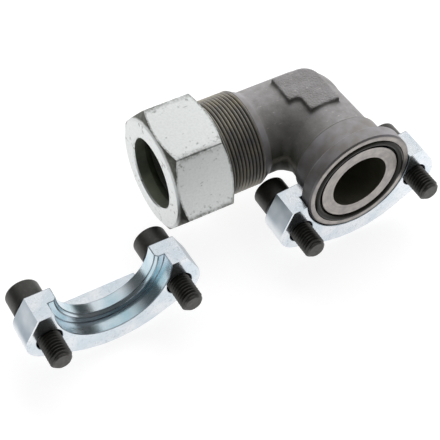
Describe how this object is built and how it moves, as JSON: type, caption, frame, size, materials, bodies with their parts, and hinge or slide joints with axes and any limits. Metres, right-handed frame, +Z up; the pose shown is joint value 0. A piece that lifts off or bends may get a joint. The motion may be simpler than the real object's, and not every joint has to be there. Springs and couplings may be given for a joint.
{
  "type": "hydraulic flange",
  "caption": "Ninety-degree hydraulic elbow with a split-flange head, a union nut for hard tube, and two flange halves with cap screws.",
  "frame": {"origin": "centre of the flange head's sealing face, on the port's axis", "axes": "-Y out of the port, -X from the corner out of the tube end, +Z up"},
  "size_m": [0.2354, 0.1052, 0.0733],
  "materials": {
    "phosphated_steel": "forged, phosphated and oiled, threads and face turned",
    "nitrile_rubber": "smooth black",
    "ring_steel": "turned and zinc plated",
    "nut_zinc": "zinc plated, matte",
    "half_zinc": "forged and bright zinc plated, bluish",
    "black_steel": "black oxide, oiled"
  },
  "bodies": {
    "elbow": {"elbow_body": "phosphated_steel", "face_o_ring": "nitrile_rubber"},
    "ring": {"cutting_ring": "ring_steel"},
    "nut": {"union_nut": "nut_zinc"},
    "seated_half": {"seated_flange_half": "half_zinc"},
    "seated_left": {"seated_screw_left": "black_steel", "seated_washer_left": "black_steel"},
    "seated_washer": {"seated_washer_right": "black_steel"},
    "seated_right": {"seated_screw_right": "black_steel"},
    "loose_half": {"loose_flange_half": "half_zinc"},
    "loose_left_washer": {"loose_washer_left": "black_steel"},
    "loose_left": {"loose_screw_left": "black_steel"},
    "loose_right_washer": {"loose_washer_right": "black_steel"},
    "loose_right": {"loose_screw_right": "black_steel"}
  },
  "joints": [
    {"name": "ring_travel", "type": "slide", "parent": "elbow", "child": "ring", "axis": [-1, 0, 0], "range_m": [0, 0.004]},
    {"name": "nut_spin", "type": "hinge", "parent": "ring", "child": "nut", "pos_m": [-0.0907, 0.0555, 0], "axis": [-1, 0, 0], "range_deg": [0, 720]},
    {"name": "seated_half_swivel", "type": "hinge", "parent": "elbow", "child": "seated_half", "pos_m": [0, 0, 0], "axis": [0, -1, 0], "range_deg": [0, 90]},
    {"name": "seated_screw_left_spin", "type": "hinge", "parent": "seated_half", "child": "seated_left", "pos_m": [-0.03318, 0, -0.02044], "axis": [0, -1, 0], "continuous": true},
    {"name": "seated_screw_right_draw", "type": "slide", "parent": "seated_half", "child": "seated_washer", "axis": [0, 1, 0], "range_m": [0, 0.03]},
    {"name": "seated_screw_right_spin", "type": "hinge", "parent": "seated_washer", "child": "seated_right", "pos_m": [0.03642, 0, -0.01411], "axis": [0, -1, 0], "continuous": true},
    {"name": "loose_half_lift", "type": "slide", "parent": "elbow", "child": "loose_half", "axis": [0, 0, 1], "range_m": [0, 0.05]},
    {"name": "loose_screw_left_draw", "type": "slide", "parent": "loose_half", "child": "loose_left_washer", "axis": [0, 1, 0], "range_m": [0, 0.03]},
    {"name": "loose_screw_left_spin", "type": "hinge", "parent": "loose_left_washer", "child": "loose_left", "pos_m": [-0.17485, 0, -0.01785], "axis": [0, -1, 0], "continuous": true},
    {"name": "loose_screw_right_draw", "type": "slide", "parent": "loose_half", "child": "loose_right_washer", "axis": [0, 1, 0], "range_m": [0, 0.03]},
    {"name": "loose_screw_right_spin", "type": "hinge", "parent": "loose_right_washer", "child": "loose_right", "pos_m": [-0.10495, 0, -0.01785], "axis": [0, -1, 0], "continuous": true}
  ],
  "couplings": [
    {"joint": "ring_travel", "follows": "nut_spin", "m_per_rad": 0.0003183}
  ]
}
